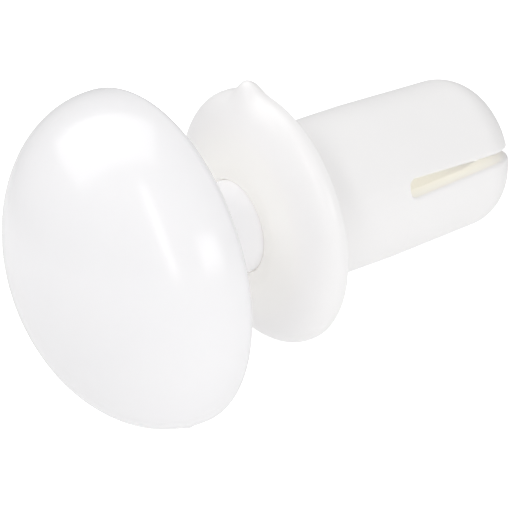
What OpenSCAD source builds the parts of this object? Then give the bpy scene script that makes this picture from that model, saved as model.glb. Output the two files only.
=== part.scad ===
// Two-piece nylon expansion anchor: a plunger with a large button head is
// pushed through a split sleeve, whose two legs spread behind the panel.
// Millimetres. +Y runs along the axis into the hole, +Z is up, and the origin
// is the centre of the flange's seating face, which lies against the panel.

/* [Plunger head] */
// Diameter of the button head
head_d = 10.4; // [10.2:0.1:12]
// Height of the elliptical dome in front of the rim
dome_h = 3.6; // [3:0.1:4.5]
// Thickness of the rim behind the dome
rim_t = 0.45; // [0.4:0.05:0.8]
// Radius of the rounded edge behind the rim
rim_round = 0.35; // [0.1:0.05:0.35]
// Gap between the rim and the panel when the plunger is home
closed_gap = 0.05; // [0.02:0.01:0.2]

/* [Plunger pin] */
// Diameter of the pin
pin_d = 2.9; // [2.5:0.05:2.9]
// Distance that the nose reaches past the slot's root as supplied
pin_reach = 0.05; // [-0.2:0.05:0.1]
// Length of the tapered nose
nose_len = 1.7; // [1.6:0.1:2]
// Diameter at the tip of the nose
nose_d = 1.5; // [1:0.1:1.6]
// Distance that the plunger is pushed, from as supplied to home
travel = 4.2; // [3.8:0.1:4.2]

/* [Sleeve flange] */
// Diameter of the flange
flange_d = 8; // [7.6:0.1:8.2]
// Thickness of the flange's straight edge
flange_edge_t = 0.18; // [0.14:0.02:0.3]
// Height of the flange's dome, as a full ellipse would have it
flange_dome_h = 1.25; // [1:0.05:1.4]
// Diameter of the flat ring around the mouth of the bore
mouth_ring_d = 3.8; // [3.6:0.1:4.4]
// Diameter of the sleeve's bore
bore_d = 3; // [2.96:0.02:3.1]
// Height of the gate mark that stands on the flange's edge
gate_h = 0.33; // [0.1:0.01:0.35]

/* [Sleeve shank] */
// Diameter of the shank, for a hole of 5 mm
shank_d = 4.96; // [4.9:0.02:5]
// Length of the full tube behind the flange, before the slot begins
barrel_len = 3.6; // [3.2:0.1:4]
// Overall length of the shank behind the flange
shank_len = 8.15; // [8.1:0.05:8.6]
// Diameter of the shank where its rounded tip begins
tip_d = 4.74; // [4.5:0.02:4.9]
// Length of the rounded tip
tip_round_len = 1.3; // [1:0.1:1.6]
// Diameter of the flat end of the tip
end_d = 2.1; // [1.9:0.1:2.4]
// Width of the slot between the legs at its root
slot_root_w = 0.6; // [0.4:0.01:0.7]
// Width of the slot at the tip
slot_tip_w = 0.2; // [0.1:0.02:0.4]

/* [Hidden] */

$fn = 96;
arc_steps = 14;
past = 1; // how far a cutting shape runs past what it cuts

sleeve_nylon = [0.95, 0.94, 0.90];
plunger_nylon = [0.97, 0.96, 0.97];

head_r = head_d / 2;
pin_r = pin_d / 2;
flange_r = flange_d / 2;
mouth_r = mouth_ring_d / 2;
bore_r = bore_d / 2;
shank_r = shank_d / 2;

// The plunger is supplied part way in; `travel` later its rim meets the panel.
head_back_y = -travel - closed_gap;
rim_y = head_back_y - rim_t;

// The flange's front is a low dome, cut flat around the bore.
flange_front_a = acos(mouth_r / flange_r);
flange_front_y = -flange_edge_t - flange_dome_h * sin(flange_front_a);
edge_break = 0.06;
lead_in = 0.05;

// The head is hollow behind, so that it closes over the flange.
recess_r = flange_r + 0.45;
recess_edge_y = head_back_y - 0.5;
recess_dome_h = flange_dome_h - 0.15;
recess_floor_a = acos(mouth_r / recess_r);
recess_floor_y = recess_edge_y - recess_dome_h * sin(recess_floor_a);

pin_end_y = barrel_len + pin_reach;
nose_start_y = pin_end_y - nose_len;
nose_break = 0.15;

// Behind the barrel the bore stays wide from side to side until the pin's nose
// needs no more, while a flat ramp on each leg closes in from above and below.
ramp_start_y = barrel_len + 1;
ramp_end_z = 0.6;
ramp_slope = (bore_r - ramp_end_z) / (shank_len - ramp_start_y);
bore_wide_y = nose_start_y + travel + 0.1;
bore_end_r = 0.85;

// The gate mark is a stub on the flange's edge, rooted inside it.
gate_root = 0.3;
gate_d = 1;
gate_top_d = 0.3;
gate_turn = 6.5; // from straight up towards +X

// Points of an elliptical arc centred on radius cr and height cy, with
// half-axes rr and ry, from angle a0 to a1 as seen from the radial direction.
function arc_points(cr, cy, rr, ry, a0, a1) =
    [for (i = [0:arc_steps]) let (a = a0 + (a1 - a0) * i / arc_steps)
        [cr + rr * cos(a), cy + ry * sin(a)]];

// A solid turned about the Y axis from a profile of [radius, y] points.
module turned(points) {
    rotate([-90, 0, 0]) rotate_extrude() polygon(points);
}

// A round bar along the Y axis.
module bar(y0, y1, r) {
    translate([0, y0, 0]) rotate([-90, 0, 0]) cylinder(h = y1 - y0, r = r);
}

module plunger_head() {
    color(plunger_nylon)
    difference() {
        turned(concat(
            [[0, head_back_y]],
            arc_points(head_r - rim_round, head_back_y - rim_round,
                       rim_round, rim_round, 90, 0),
            arc_points(0, rim_y, head_r, -dome_h, 0, 90)));
        turned(concat(
            [[0, head_back_y + past], [recess_r, head_back_y + past]],
            arc_points(0, recess_edge_y, recess_r, -recess_dome_h,
                       0, recess_floor_a),
            [[0, recess_floor_y]]));
    }
}

module plunger_pin() {
    color(plunger_nylon)
    turned([[0, recess_floor_y], [pin_r, recess_floor_y], [pin_r, nose_start_y],
            [nose_d / 2, pin_end_y - nose_break],
            [nose_d / 2 - nose_break, pin_end_y], [0, pin_end_y]]);
}

// The stub that the mould's gate leaves on the flange's edge.
module gate_mark() {
    rotate([0, gate_turn, 0])
    translate([0, -gate_d / 2 - edge_break, flange_r - gate_root])
        cylinder(h = gate_root + gate_h, d1 = gate_d, d2 = gate_top_d);
}

// The flange and the full tube behind it, up to the root of the slot.
module sleeve_body() {
    color(sleeve_nylon)
    difference() {
        union() {
            turned(concat(
                [[0, 0], [flange_r - edge_break, 0], [flange_r, -edge_break]],
                arc_points(0, -flange_edge_t, flange_r, -flange_dome_h,
                           0, flange_front_a),
                [[0, flange_front_y]]));
            bar(flange_front_y / 2, barrel_len, shank_r);
            gate_mark();
        }
        bar(flange_front_y - past, barrel_len + past, bore_r);
        turned([[0, flange_front_y - lead_in],
                [bore_r + 2 * lead_in, flange_front_y - lead_in],
                [bore_r, flange_front_y + lead_in],
                [0, flange_front_y + lead_in]]);
    }
}

// The outside of both legs: a slight cone that ends in a rounded tip.
module leg_outside() {
    turned(concat(
        [[0, barrel_len], [shank_r, barrel_len]],
        arc_points(end_d / 2, shank_len - tip_round_len,
                   (tip_d - end_d) / 2, tip_round_len, 0, 90),
        [[0, shank_len]]));
}

// The space between two flat ramps, from half-height z0 at y0 to z1 at y1.
module wedge(y0, z0, y1, z1) {
    rotate([90, 0, 90])
    translate([0, 0, -shank_d])
    linear_extrude(2 * shank_d)
    polygon([[y0 - past, z0], [y0 - past, -z0], [y0, -z0], [y1, -z1],
             [y1 + past, -z1], [y1 + past, z1], [y1, z1], [y0, z0]]);
}

// What the pin passes through between the legs.
module leg_bore() {
    intersection() {
        turned([[0, barrel_len - past], [bore_r, barrel_len - past],
                [bore_r, bore_wide_y], [bore_end_r, shank_len],
                [bore_end_r, shank_len + past], [0, shank_len + past]]);
        wedge(barrel_len, bore_r + ramp_slope * (ramp_start_y - barrel_len),
              shank_len, ramp_end_z);
    }
}

module leg() {
    color(sleeve_nylon)
    intersection() {
        difference() {
            leg_outside();
            leg_bore();
            wedge(barrel_len, slot_root_w / 2, shank_len, slot_tip_w / 2);
        }
        translate([-shank_d, 0, 0]) cube([2 * shank_d, shank_len + past, shank_d]);
    }
}

module leg_upper() {
    leg();
}

module leg_lower() {
    mirror([0, 0, 1]) leg();
}

plunger_head();
plunger_pin();
sleeve_body();
leg_upper();
leg_lower();
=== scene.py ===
"""Looks of a two-piece nylon expansion anchor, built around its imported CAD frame.

Every skin is a surface worked out on a grid: the plunger and the sleeve's body are
profiles turned about the Y axis, and each leg is a rounded cross-section carried
along Y. Lengths are in metres, +Y points into the hole and +Z is up.
"""

import math

import bpy
import numpy as np
from mathutils import Matrix, Vector


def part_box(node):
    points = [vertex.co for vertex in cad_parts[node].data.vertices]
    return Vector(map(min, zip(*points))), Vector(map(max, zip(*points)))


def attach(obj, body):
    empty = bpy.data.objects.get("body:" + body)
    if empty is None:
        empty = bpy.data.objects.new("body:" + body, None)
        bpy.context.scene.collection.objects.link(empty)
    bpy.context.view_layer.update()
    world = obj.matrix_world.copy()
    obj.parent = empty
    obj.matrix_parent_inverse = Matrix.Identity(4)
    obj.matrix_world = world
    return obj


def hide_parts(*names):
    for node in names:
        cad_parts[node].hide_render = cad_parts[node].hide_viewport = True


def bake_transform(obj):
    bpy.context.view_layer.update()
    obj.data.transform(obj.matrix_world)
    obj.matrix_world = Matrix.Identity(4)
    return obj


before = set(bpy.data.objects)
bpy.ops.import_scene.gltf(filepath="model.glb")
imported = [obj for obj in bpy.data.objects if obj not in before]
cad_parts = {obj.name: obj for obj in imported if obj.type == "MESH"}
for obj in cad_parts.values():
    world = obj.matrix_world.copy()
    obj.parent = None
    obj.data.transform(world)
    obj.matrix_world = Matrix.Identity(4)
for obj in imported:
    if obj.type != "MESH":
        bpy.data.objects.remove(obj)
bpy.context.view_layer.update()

MM = 0.001

# ---------------------------------------------------------------- sizes from the frame

head_lo, head_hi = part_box("plunger_head")
pin_lo, pin_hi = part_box("plunger_pin")
body_lo, body_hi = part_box("sleeve_body")
_, leg_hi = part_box("leg_upper")

HEAD_R = head_hi.x
APEX_Y = head_lo.y
HEAD_BACK_Y = head_hi.y
PIN_R = pin_hi.x
PIN_END_Y = pin_hi.y
FLOOR_Y = pin_lo.y  # floor of the hollow behind the head
FLANGE_R = -body_lo.z
FLANGE_FRONT_Y = body_lo.y
ROOT_Y = body_hi.y  # root of the slot, where the legs begin
TIP_Y = leg_hi.y
SHANK_R = leg_hi.z

# ------------------------------------------------ sizes that no box of the frame gives

RIM_T = 0.45 * MM
RIM_ROUND = 0.35 * MM
RIM_Y = HEAD_BACK_Y - RIM_T
LIP_ROUND = 0.08 * MM
RECESS_R = 4.45 * MM
RECESS_EDGE_Y = HEAD_BACK_Y - 0.5 * MM
MOUTH_R = 1.9 * MM
NOSE_LEN = 1.7 * MM
NOSE_R = 0.75 * MM
NOSE_ROUND = 0.15 * MM
PIN_FILLET = 0.3 * MM
SHOULDER_EASE = 0.012 * MM  # how far the pin draws in just past the nose's shoulder
PLUNGER_GATE_TURN = 172  # degrees from +Z towards +X
PLUNGER_GATE_H = 0.12 * MM
PLUNGER_GATE_ACROSS = 0.36 * MM
PLUNGER_GATE_ALONG = 0.25 * MM

PIN_GAP = 0.012 * MM
BORE_R = PIN_R + PIN_GAP
EDGE_T = 0.18 * MM
MOUTH_ROUND = 0.04 * MM
EDGE_ROUND = 0.06 * MM
SEAT_FILLET = 0.08 * MM
SLEEVE_GATE_TURN = 6.5
SLEEVE_GATE_Y = -0.3 * MM
SLEEVE_GATE_H = 0.36 * MM
SLEEVE_GATE_ACROSS = 0.47 * MM
SLEEVE_GATE_ALONG = 0.4 * MM
SINK_DEPTH = 0.018 * MM  # shallow sink in the tube, in line with the slot
SINK_HALF = 0.16 * MM
FRONT_PAINTED_SHADE = 0.95  # share of painted gap shade and glow on the flange's front close to the bore, where the head shades it

LEG_BORE_R = 1.5 * MM
ROUND_LEN = 1.3 * MM
ROUND_R = 2.37 * MM
END_R = 1.05 * MM
SLOT_ROOT_HALF = 0.3 * MM
SLOT_TIP_HALF = 0.1 * MM
RAMP_START_Y = ROOT_Y + 1.0 * MM
RAMP_END_Z = 0.6 * MM
BORE_WIDE_Y = 6.25 * MM
BORE_END_R = 0.85 * MM
LEG_EDGE_ROUND = 0.1 * MM
LEG_END_ROUND = 0.05 * MM
LEG_LEAST_WALL = 0.12 * MM

AROUND = 288  # steps around a turned piece
CROWDING = 0.6  # how strongly those steps crowd together around a gate mark
STEP = 0.1 * MM  # longest step along a profile
ARC_SIDE = 97  # points along the long sides of a leg's section, corners included
WALL_SIDE = 9  # and along the short ones

# --------------------------------------------------------------------- small formulas


def arc(cr, cy, rr, ry, a0, a1, count):
    """Points (cr + rr cos a, cy + ry sin a) for a from a0 to a1 degrees."""
    a = np.radians(np.linspace(a0, a1, count))
    return np.stack([cr + rr * np.cos(a), cy + ry * np.sin(a)], 1)


def evenly(points):
    """The same polyline with every segment cut into equal steps no longer than STEP."""
    points = np.asarray(points, float)
    gaps = np.linalg.norm(np.diff(points, axis=0), axis=1)
    points = points[np.r_[True, gaps > 1e-9]]
    gaps = np.linalg.norm(np.diff(points, axis=0), axis=1)
    cuts = np.maximum(1, np.ceil(gaps / STEP)).astype(int)
    start = np.repeat(np.arange(len(gaps)), cuts)
    part = np.arange(cuts.sum()) - np.repeat(np.cumsum(cuts) - cuts, cuts)
    at = np.append(start + part / np.repeat(cuts, cuts), len(gaps))
    return np.stack([np.interp(at, np.arange(len(points)), points[:, k]) for k in (0, 1)], 1)


def smoothstep(x, low, high):
    """0 below low, 1 above high, and 3t^2 - 2t^3 between them."""
    t = np.clip((x - low) / (high - low), 0, 1)
    return t * t * (3 - 2 * t)


def turned_from(t, centre):
    """Signed angle from centre (in degrees) to t, between -pi and pi."""
    return (t - math.radians(centre) + np.pi) % (2 * np.pi) - np.pi


# -------------------------------------------------------------------- mesh building


def make_object(name, vertices, faces, inside=None):
    """A smooth-shaded object at the origin, with edges sharper than 35 degrees kept crisp.

    The given mask of painted gap shade and painted glow is kept as an attribute: 1 deep
    in a gap or bore, 0 where light falls freely.
    """
    mesh = bpy.data.meshes.new(name)
    mesh.from_pydata(vertices, [], faces)
    mesh.polygons.foreach_set("use_smooth", np.ones(len(mesh.polygons), bool))
    mesh.set_sharp_from_angle(angle=math.radians(35))
    if inside is not None:
        # store the mask of painted warm shade and painted glow in gaps and bores
        mesh.attributes.new("inside", "FLOAT", "POINT").data.foreach_set("value", inside.ravel())
    mesh.update()
    piece = bpy.data.objects.new(name, mesh)
    bpy.context.scene.collection.objects.link(piece)
    return piece


def turned(name, profile, inside, closed, relief, fine_at):
    """A profile of (radius, y) points turned about the Y axis.

    Vertex (i, j) is (R sin t_j, y_i, R cos t_j), with R = radius_i + relief(radius, y, t)
    and t_j = u - CROWDING sin(u - fine_at) for even u, which sets the steps close together
    around fine_at. An open profile starts and ends on the axis, where its ring shrinks
    to one vertex; a closed one joins its last point to its first.
    """
    u = np.linspace(0, 2 * np.pi, AROUND, endpoint=False)
    t = (u - CROWDING * np.sin(u - math.radians(fine_at)))[None, :]
    rings = profile if closed else profile[1:-1]
    r, y = rings[:, :1], rings[:, 1:]
    radius = r + relief(r, y, t)
    grid = np.stack([radius * np.sin(t), y + 0 * t, radius * np.cos(t)], -1).reshape(-1, 3)
    # painted gap shade and glow, one value for each vertex
    painted_gap_light_per_vertex = np.repeat(inside if closed else inside[1:-1], AROUND)
    count = len(rings)
    i = np.arange(count if closed else count - 1)[:, None]
    j = np.arange(AROUND)[None, :]
    i2, j2 = (i + 1) % count, (j + 1) % AROUND
    corners = [i * AROUND + j, i * AROUND + j2, i2 * AROUND + j2, i2 * AROUND + j]
    faces = np.stack([c + 0 * (i + j) for c in corners], -1).reshape(-1, 4).tolist()
    if not closed:
        first, last = len(grid), len(grid) + 1
        grid = np.vstack([grid, [[0, profile[0, 1], 0], [0, profile[-1, 1], 0]]])
        painted_gap_light_per_vertex = np.append(painted_gap_light_per_vertex, [inside[0], inside[-1]])
        ring = np.arange(AROUND)
        after, end = (ring + 1) % AROUND, (count - 1) * AROUND
        faces += np.stack([0 * ring + first, after, ring], 1).tolist()
        faces += np.stack([0 * ring + last, end + ring, end + after], 1).tolist()
    return make_object(name, grid, faces, painted_gap_light_per_vertex)


def gate_stub(r, y, t, turn, y0, height, across, along, edge_r):
    """A torn gate stub: height exp(-d^2.2), where d is the distance from its centre with
    the edge's arc measured in units of across and y in units of along, near edge_r only."""
    d2 = (turned_from(t, turn) * edge_r / across) ** 2 + ((y - y0) / along) ** 2
    return height * np.exp(-(d2**1.1)) * smoothstep(r, 0.8 * edge_r, edge_r)


# ----------------------------------------------------------------------- the pieces


def plunger_piece():
    """Dome of half an ellipse, short rim, hollow with an elliptical roof, pin and nose."""
    dome = arc(0, RIM_Y, HEAD_R, APEX_Y - RIM_Y, 90, 0, 90)
    rim = arc(HEAD_R - RIM_ROUND, HEAD_BACK_Y - RIM_ROUND, RIM_ROUND, RIM_ROUND, 0, 90, 12)
    lip = arc(RECESS_R + LIP_ROUND, HEAD_BACK_Y - LIP_ROUND, LIP_ROUND, LIP_ROUND, 90, 180, 6)
    floor_a = math.degrees(math.acos(MOUTH_R / RECESS_R))
    roof_h = (RECESS_EDGE_Y - FLOOR_Y) / math.sin(math.radians(floor_a))
    roof = arc(0, RECESS_EDGE_Y, RECESS_R, -roof_h, 0, floor_a, 36)
    root = arc(PIN_R + PIN_FILLET, FLOOR_Y + PIN_FILLET, PIN_FILLET, PIN_FILLET, 270, 180, 10)
    shoulder_y = PIN_END_Y - NOSE_LEN
    shoulder = [[PIN_R, shoulder_y - 0.1 * MM], [PIN_R - SHOULDER_EASE, shoulder_y + 0.05 * MM]]
    nose = arc(NOSE_R - NOSE_ROUND, PIN_END_Y - NOSE_ROUND, NOSE_ROUND, NOSE_ROUND, 10, 90, 8)
    profile = evenly(np.vstack([dome, rim, lip, roof, root, shoulder, nose, [[0, PIN_END_Y]]]))

    def relief(r, y, t):
        return gate_stub(r, y, t, PLUNGER_GATE_TURN, RIM_Y + 0.1 * MM, PLUNGER_GATE_H,
                         PLUNGER_GATE_ACROSS, PLUNGER_GATE_ALONG, HEAD_R)

    return turned("plunger", profile, np.zeros(len(profile)), False, relief, PLUNGER_GATE_TURN)


def sleeve_piece():
    """Closed loop: flange dome, round edge, seat, filleted tube to the slot's root, and bore.

    A shallow sink, SINK_DEPTH exp(-(arc / SINK_HALF)^2), runs along both sides of the tube.
    """
    front_a = math.degrees(math.acos(MOUTH_R / FLANGE_R))
    dome_h = (-EDGE_T - FLANGE_FRONT_Y) / math.sin(math.radians(front_a))
    dome = arc(0, -EDGE_T, FLANGE_R, -dome_h, front_a, 0, 60)
    edge = arc(FLANGE_R - EDGE_ROUND, -EDGE_ROUND, EDGE_ROUND, EDGE_ROUND, 0, 90, 7)
    seat = arc(SHANK_R + SEAT_FILLET, SEAT_FILLET, SEAT_FILLET, SEAT_FILLET, 270, 180, 7)
    tube = [[SHANK_R, ROOT_Y], [BORE_R, ROOT_Y]]
    mouth = arc(BORE_R + MOUTH_ROUND, FLANGE_FRONT_Y + MOUTH_ROUND, MOUTH_ROUND, MOUTH_ROUND,
                180, 270, 6)
    profile = evenly(np.vstack([dome, edge, seat, tube, mouth, dome[:1]]))[:-1]
    r, y = profile[:, 0], profile[:, 1]
    # painted gap shade and glow: full in the bore and on the end face at the slot's root, and on
    # the flange's front near the bore, where the head shades it
    bore = smoothstep(y, FLANGE_FRONT_Y, FLANGE_FRONT_Y + 0.3 * MM)
    bore = bore * (r < BORE_R + 0.5 * MOUTH_ROUND)
    end_face = (y > ROOT_Y - 1e-7) * (1 - smoothstep(r, SHANK_R - 0.35 * MM, SHANK_R))
    front = (y < -EDGE_T) * (1 - smoothstep(r, BORE_R + 0.3 * MM, FLANGE_R - 0.4 * MM))
    inside = np.maximum(np.maximum(bore, end_face), FRONT_PAINTED_SHADE * front)

    def relief(r, y, t):
        stub = gate_stub(r, y, t, SLEEVE_GATE_TURN, SLEEVE_GATE_Y, SLEEVE_GATE_H,
                         SLEEVE_GATE_ACROSS, SLEEVE_GATE_ALONG, FLANGE_R)
        side = np.minimum(abs(turned_from(t, 90)), abs(turned_from(t, 270))) * SHANK_R
        on_tube = smoothstep(r, BORE_R, SHANK_R) * smoothstep(y, 0.1 * MM, ROOT_Y)
        return stub - SINK_DEPTH * np.exp(-((side / SINK_HALF) ** 2)) * on_tube

    return turned("sleeve", profile, inside, True, relief, SLEEVE_GATE_TURN)


def leg_outer(y):
    """Straight cone from the root to the rounded tip, then a quarter ellipse to the flat end."""
    start = TIP_Y - ROUND_LEN
    cone = SHANK_R + (ROUND_R - SHANK_R) * (y - ROOT_Y) / (start - ROOT_Y)
    s = np.clip((y - start) / ROUND_LEN, 0, 1)
    return np.where(y < start, cone, END_R + (ROUND_R - END_R) * np.sqrt(1 - s * s))


def slot_half(y):
    """Half-width of the slot: a straight taper to the tip, and a quarter circle at its root."""
    taper = SLOT_ROOT_HALF + (SLOT_TIP_HALF - SLOT_ROOT_HALF) * (y - ROOT_Y) / (TIP_Y - ROOT_Y)
    s = np.clip((y - ROOT_Y) / SLOT_ROOT_HALF, 0, 1)
    return taper * np.sqrt(s * (2 - s))


def leg_inner(y, angle, outer):
    """The bore, or the flat ramp ramp_z / sin(angle) where that is nearer, rounded together."""
    bore = np.where(y < BORE_WIDE_Y, LEG_BORE_R,
                    np.interp(y, [BORE_WIDE_Y, TIP_Y], [LEG_BORE_R, BORE_END_R]))
    ramp_z = np.where(y < RAMP_START_Y, 1.2 * LEG_BORE_R,
                      np.interp(y, [RAMP_START_Y, TIP_Y], [LEG_BORE_R, RAMP_END_Z]))
    ramp = ramp_z / np.maximum(np.sin(angle), 0.05)
    blend = 0.05 * MM
    nearer = 0.5 * (bore + ramp - np.sqrt((bore - ramp) ** 2 + blend**2))
    return np.minimum(nearer, outer - LEG_LEAST_WALL)


def rounded_rectangle(ru, rv, inset_u, inset_v):
    """Points around the unit square in (u, v), with elliptical corners of ru by rv.

    All four are columns, one row for each ring. Each corner is a quarter turn, and the
    straight sides between the corners get even steps, more of them along u than along v.
    """
    low_u, low_v = ru + inset_u, rv + inset_v
    high_u, high_v = 1 - low_u, 1 - low_v
    us, vs = [], []
    corners = [(high_u, low_v, -90), (high_u, high_v, 0), (low_u, high_v, 90), (low_u, low_v, 180)]
    for k, (cu, cv, start) in enumerate(corners):
        a = np.radians(np.linspace(start, start + 90, 7))[None, :]
        us.append(cu + ru * np.cos(a))
        vs.append(cv + rv * np.sin(a))
        next_u, next_v, _ = corners[(k + 1) % 4]
        side = np.linspace(0, 1, ARC_SIDE if k % 2 else WALL_SIDE)[None, 1:-1]
        us.append(cu + ru * np.cos(a[0, -1]) + (next_u - cu) * side)
        vs.append(cv + rv * np.sin(a[0, -1]) + (next_v - cv) * side)
    return np.hstack(us), np.hstack(vs)


def leg_rings():
    """Places of the rings along a leg, closer at the slot's root and at the rounded end,
    and how far each ring draws in at the end: LEG_END_ROUND (1 - cos a) over a quarter turn."""
    quarter = np.linspace(0, np.pi / 2, 12)
    root = ROOT_Y + SLOT_ROOT_HALF * (1 - np.cos(quarter))
    span = np.linspace(0, 1, 90)[1:]
    share = 0.5 * span + 0.5 * np.sin(span * np.pi / 2)
    shaft = root[-1] + (TIP_Y - LEG_END_ROUND - root[-1]) * share
    a = np.linspace(0, np.pi / 2, 7)[1:]
    end = TIP_Y - LEG_END_ROUND + LEG_END_ROUND * np.sin(a)
    inset = np.concatenate([np.zeros(len(root) + len(shaft)), LEG_END_ROUND * (1 - np.cos(a))])
    return np.concatenate([root, shaft, end])[:, None], inset[:, None]


def leg_piece(name, side):
    """One leg: a rounded cross-section carried along Y, mirrored in Z for the lower leg.

    The section is a rounded rectangle in (u, v): u runs around the axis from one slot face
    to the other, v from the inner wall to the outer. At (u, v) the radius is
    R = inner + v (outer - inner) and the angle a + (pi - 2a) u, with a = asin(slot half / R).
    """
    y, inset = leg_rings()
    outer = leg_outer(y)
    wall = np.maximum(outer - LEG_BORE_R, 0.35 * MM)
    girth = np.pi * (outer + LEG_BORE_R) / 2
    corner_v = np.minimum(LEG_EDGE_ROUND / wall, 0.42)
    u, v = rounded_rectangle(LEG_EDGE_ROUND / girth, corner_v, inset / girth, inset / wall)
    inner = leg_inner(y, np.pi * u, outer)
    radius = inner + v * (outer - inner)
    a = np.arcsin(np.clip(slot_half(y) / radius, 0, 1))
    angle = a + (np.pi - 2 * a) * u
    grid = np.stack([radius * np.cos(angle), y + 0 * u, side * radius * np.sin(angle)], -1)
    # painted gap shade and glow on the slot faces and the inner wall, fading out over the last 1.2
    # mm before the tip
    inside = (1 - smoothstep(v, 0.55, 1.0)) * (1 - smoothstep(y, TIP_Y - 1.2 * MM, TIP_Y))
    rows, cols = u.shape
    i, j = np.arange(rows - 1)[:, None], np.arange(cols)[None, :]
    j2 = (j + 1) % cols
    ring = [i * cols + j, i * cols + j2, (i + 1) * cols + j2, (i + 1) * cols + j]
    faces = np.stack([c + 0 * (i + j) for c in ring], -1).reshape(-1, 4)[:, ::side].tolist()
    caps = [np.arange(cols)[::-side], (rows - 1) * cols + np.arange(cols)[::side]]
    return make_object(name, grid.reshape(-1, 3), faces + [c.tolist() for c in caps], inside)


# -------------------------------------------------------------------------- materials

CLOUD_WAVES = 380.0  # per metre
FLOW_WAVES = 900.0
GRAIN_WAVES = 16000.0
GRAIN_SHARE = 0.1  # height of the grain as a share of the flow waves' height


def add_noise(tree, place, scale, detail, roughness):
    """A noise texture on Object coordinates, with scale in waves per metre."""
    noise = tree.nodes.new("ShaderNodeTexNoise")
    noise.inputs["Scale"].default_value = scale
    noise.inputs["Detail"].default_value = detail
    noise.inputs["Roughness"].default_value = roughness
    tree.links.new(place.outputs["Object"], noise.inputs["Vector"])
    return noise.outputs["Fac"]


def add_mix(tree, factor, first, second):
    """A colour mix from first to second."""
    mix = tree.nodes.new("ShaderNodeMix")
    mix.data_type = "RGBA"
    tree.links.new(factor, mix.inputs["Factor"])
    for label, value in (("A", first), ("B", second)):
        # a Mix node has one socket of each name for every kind of value
        socket = next(s for s in mix.inputs if s.name == label and s.type == "RGBA")
        if isinstance(value, tuple):
            socket.default_value = value
        else:
            tree.links.new(value, socket)
    return next(s for s in mix.outputs if s.type == "RGBA")


def add_scaled(tree, value, factor, offset):
    """value times factor plus offset; each of the last two is a number or a socket."""
    sum_up = tree.nodes.new("ShaderNodeMath")
    sum_up.operation = "MULTIPLY_ADD"
    tree.links.new(value, sum_up.inputs[0])
    for socket, given in ((sum_up.inputs[1], factor), (sum_up.inputs[2], offset)):
        if isinstance(given, float):
            socket.default_value = given
        else:
            tree.links.new(given, socket)
    return sum_up.outputs["Value"]


def milky_nylon_group():
    """Shared look of moulded natural nylon, from cloudy tints to a fine grain.

    Colour drifts between two tints, and painted shade turns it warmer in gaps. Gloss is
    uneven, and Height has long flow waves with fine grain on them. Glow is a painted glow
    in gaps and bores, standing in for the light that a milky wall lets through.
    """
    group = bpy.data.node_groups.new("milky_nylon", "ShaderNodeTree")
    for label, kind in (("Tint", "Color"), ("Cloud Tint", "Color"), ("Painted Gap Shade", "Color"),
                        ("Painted Gap Glow", "Color"), ("Roughness", "Float"), ("Unevenness", "Float")):
        group.interface.new_socket(label, in_out="INPUT", socket_type="NodeSocket" + kind)
    for label, kind in (("Color", "Color"), ("Glow", "Color"),
                        ("Roughness", "Float"), ("Height", "Float")):
        group.interface.new_socket(label, in_out="OUTPUT", socket_type="NodeSocket" + kind)
    given = group.nodes.new("NodeGroupInput").outputs
    result = group.nodes.new("NodeGroupOutput").inputs
    place = group.nodes.new("ShaderNodeTexCoord")
    inside = group.nodes.new("ShaderNodeAttribute")
    inside.attribute_name = "inside"
    cloud = add_noise(group, place, CLOUD_WAVES, 2.0, 0.5)
    waves = add_noise(group, place, FLOW_WAVES, 2.0, 0.5)
    grain = add_noise(group, place, GRAIN_WAVES, 3.0, 0.6)
    tint = add_mix(group, cloud, given["Tint"], given["Cloud Tint"])
    # painted shade: a warmer colour where the gap mask is high
    tint = add_mix(group, inside.outputs["Fac"], tint, given["Painted Gap Shade"])
    # painted glow where the gap mask is high, fed to Emission
    glow = add_mix(group, inside.outputs["Fac"], (0.0, 0.0, 0.0, 1.0), given["Painted Gap Glow"])
    group.links.new(tint, result["Color"])
    group.links.new(glow, result["Glow"])
    uneven = add_scaled(group, waves, given["Unevenness"], given["Roughness"])
    group.links.new(uneven, result["Roughness"])
    group.links.new(add_scaled(group, grain, GRAIN_SHARE, waves), result["Height"])
    return group


def nylon(name, group, tint, cloud_tint, painted_gap_shade, painted_gap_glow, roughness):
    """Natural nylon: milky white and half glossy, with painted warm shade and a painted glow in
    gaps.
    """
    material = bpy.data.materials.new(name)
    material.use_nodes = True
    tree = material.node_tree
    shader = tree.nodes["Principled BSDF"]
    look = tree.nodes.new("ShaderNodeGroup")
    look.node_tree = group
    for label, value in (("Tint", tint), ("Cloud Tint", cloud_tint), ("Painted Gap Shade", painted_gap_shade),
                         ("Painted Gap Glow", painted_gap_glow)):
        look.inputs[label].default_value = (*value, 1)
    look.inputs["Roughness"].default_value = roughness
    look.inputs["Unevenness"].default_value = 0.1
    bump = tree.nodes.new("ShaderNodeBump")
    bump.inputs["Strength"].default_value = 0.25
    bump.inputs["Distance"].default_value = 0.02 * MM
    link = tree.links.new
    link(look.outputs["Color"], shader.inputs["Base Color"])
    # painted glow in gaps and bores, through Emission
    link(look.outputs["Glow"], shader.inputs["Emission Color"])
    link(look.outputs["Roughness"], shader.inputs["Roughness"])
    link(look.outputs["Height"], bump.inputs["Height"])
    link(bump.outputs["Normal"], shader.inputs["Normal"])
    shader.inputs["Emission Strength"].default_value = 1.0
    shader.inputs["IOR"].default_value = 1.53
    return material


milky_nylon = milky_nylon_group()
# the third and fourth colours are the painted warm shade and the painted glow in gaps; the
# plunger's mask is zero, so its pair shows nowhere
PLUNGER_NYLON = nylon("plunger_nylon", milky_nylon, (0.965, 0.955, 0.965), (0.945, 0.94, 0.955),
                      (0.96, 0.94, 0.90), (0.02, 0.018, 0.015), 0.14)
SLEEVE_NYLON = nylon("sleeve_nylon", milky_nylon, (0.967, 0.955, 0.952), (0.95, 0.941, 0.94),
                     (0.957, 0.947, 0.915), (0.1, 0.099, 0.092), 0.27)

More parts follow.
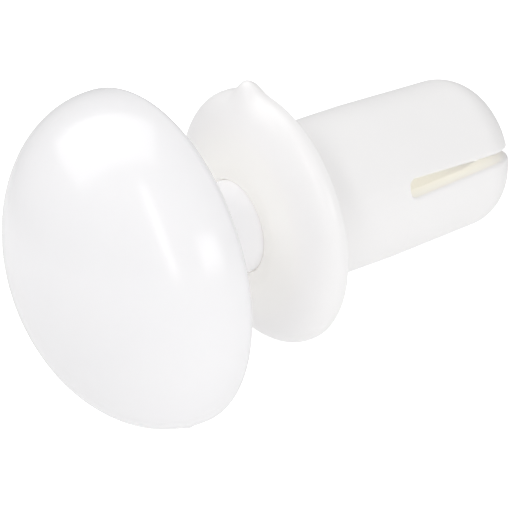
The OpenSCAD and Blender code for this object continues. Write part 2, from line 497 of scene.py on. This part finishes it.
# --------------------------------------------------------------------- build the anchor

plunger = plunger_piece()
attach(plunger, "plunger")
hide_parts("plunger_head", "plunger_pin")
plunger.data.materials.append(PLUNGER_NYLON)

sleeve = sleeve_piece()
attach(sleeve, "sleeve")
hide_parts("sleeve_body")
sleeve.data.materials.append(SLEEVE_NYLON)

for which, side in (("upper", 1), ("lower", -1)):
    leg = leg_piece(f"{which}_leg_skin", side)
    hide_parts(f"leg_{which}")
    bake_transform(leg)
    leg.data.materials.append(SLEEVE_NYLON)

# ------------------------------------------------------------------------------ stage

FLOOR_DROP = 20 * MM
FLOOR_HALF = 3.0


def seen_as_white(tree, light):
    """A strength of 1 for what the camera sees and of light for what falls on the anchor."""
    path = tree.nodes.new("ShaderNodeLightPath")
    strength = tree.nodes.new("ShaderNodeMix")
    strength.inputs["A"].default_value = light
    strength.inputs["B"].default_value = 1.0
    tree.links.new(path.outputs["Is Camera Ray"], strength.inputs["Factor"])
    return strength.outputs["Result"]


def pale_floor(glow):
    """A plain white floor well below the anchor, which glows like a light table."""
    ends = ((-1, -1), (1, -1), (1, 1), (-1, 1))
    corners = [(x * FLOOR_HALF, y * FLOOR_HALF, -FLOOR_DROP) for x, y in ends]
    floor = make_object("floor", corners, [(0, 1, 2, 3)])
    material = bpy.data.materials.new("white_table")
    material.use_nodes = True
    shader = material.node_tree.nodes["Principled BSDF"]
    shader.inputs["Base Color"].default_value = (0.8, 0.8, 0.8, 1)
    shader.inputs["Roughness"].default_value = 0.8
    shader.inputs["Emission Color"].default_value = (1, 1, 1, 1)
    tree = material.node_tree
    tree.links.new(seen_as_white(tree, glow), shader.inputs["Emission Strength"])
    floor.data.materials.append(material)


def white_studio(light):
    """A white room that lights the anchor at this strength and looks plain white itself."""
    world = bpy.data.worlds.new("studio")
    bpy.context.scene.world = world
    world.use_nodes = True
    background = world.node_tree.nodes["Background"]
    background.inputs["Color"].default_value = (1, 1, 1, 1)
    world.node_tree.links.new(seen_as_white(world.node_tree, light), background.inputs["Strength"])


pale_floor(glow=0.165)
white_studio(light=0.48)

# ----------------------------------------------------------------------------- lights

LIGHT_DISTANCE = 0.3


def direction(azimuth, elevation):
    """Unit vector to a place seen at this azimuth, from -Y towards +X, and elevation."""
    a, e = math.radians(azimuth), math.radians(elevation)
    return Vector((math.sin(a) * math.cos(e), -math.cos(a) * math.cos(e), math.sin(e)))


def softbox(name, azimuth, elevation, width, height, brightness, turned_by=0):
    """A rectangular soft light that faces the anchor and looks this bright from it.

    width and height are the angles it spans, in degrees, it is turned in its own plane
    by the last angle, and its power is brightness times pi times its area.
    """
    lamp = bpy.data.objects.new(name, bpy.data.lights.new(name, "AREA"))
    bpy.context.scene.collection.objects.link(lamp)
    lamp.data.shape = "RECTANGLE"
    lamp.data.size = 2 * LIGHT_DISTANCE * math.tan(math.radians(width / 2))
    lamp.data.size_y = 2 * LIGHT_DISTANCE * math.tan(math.radians(height / 2))
    lamp.data.energy = brightness * math.pi * lamp.data.size * lamp.data.size_y
    lamp.visible_camera = False
    out = direction(azimuth, elevation)
    lamp.location = out * LIGHT_DISTANCE
    spin = Matrix.Rotation(math.radians(turned_by), 3, "Z")
    lamp.rotation_euler = (out.to_track_quat("Z", "Y").to_matrix() @ spin).to_euler()


softbox("fill_by_camera", 57, 15, 60, 60, 0.27)
softbox("key_overhead", -50, 63, 46, 66, 1.5)
softbox("low_front", -19, -48, 38, 32, 3.0)
softbox("window_right", 89, -5, 26, 46, 2.4)
softbox("strip_by_camera", 41, 17, 7, 70, 2.8, turned_by=16)
softbox("right_high", 110, 35, 50, 40, 0.2)

# ----------------------------------------------------------------------------- camera

VIEW_AZIMUTH = 57.50
VIEW_ELEVATION = 15.09
VIEW_ROLL = -9.93
VIEW_DISTANCE = 104.49 * MM
LENS = 249.1
# where the centre of the head's rim sits in the view: left of its centre and a hair below
RIM_RIGHT = -3.37 * MM
RIM_UP = -0.10 * MM

turn = (
    Matrix.Rotation(math.radians(VIEW_AZIMUTH), 3, "Z")
    @ Matrix.Rotation(math.radians(90 - VIEW_ELEVATION), 3, "X")
    @ Matrix.Rotation(math.radians(VIEW_ROLL), 3, "Z")
)
camera = bpy.data.objects.new("camera", bpy.data.cameras.new("camera"))
bpy.context.scene.collection.objects.link(camera)
camera.data.lens = LENS
camera.data.sensor_width = 36
camera.data.clip_start = 0.001
camera.data.clip_end = 20
place = Vector((0, RIM_Y, 0)) - turn @ Vector((RIM_RIGHT, RIM_UP, -VIEW_DISTANCE))
camera.matrix_world = Matrix.Translation(place) @ turn.to_4x4()
bpy.context.scene.camera = camera

bpy.context.scene.view_settings.view_transform = "Standard"
# light bounces many times between milky walls
bpy.context.scene.cycles.max_bounces = 16
bpy.context.scene.cycles.diffuse_bounces = 12
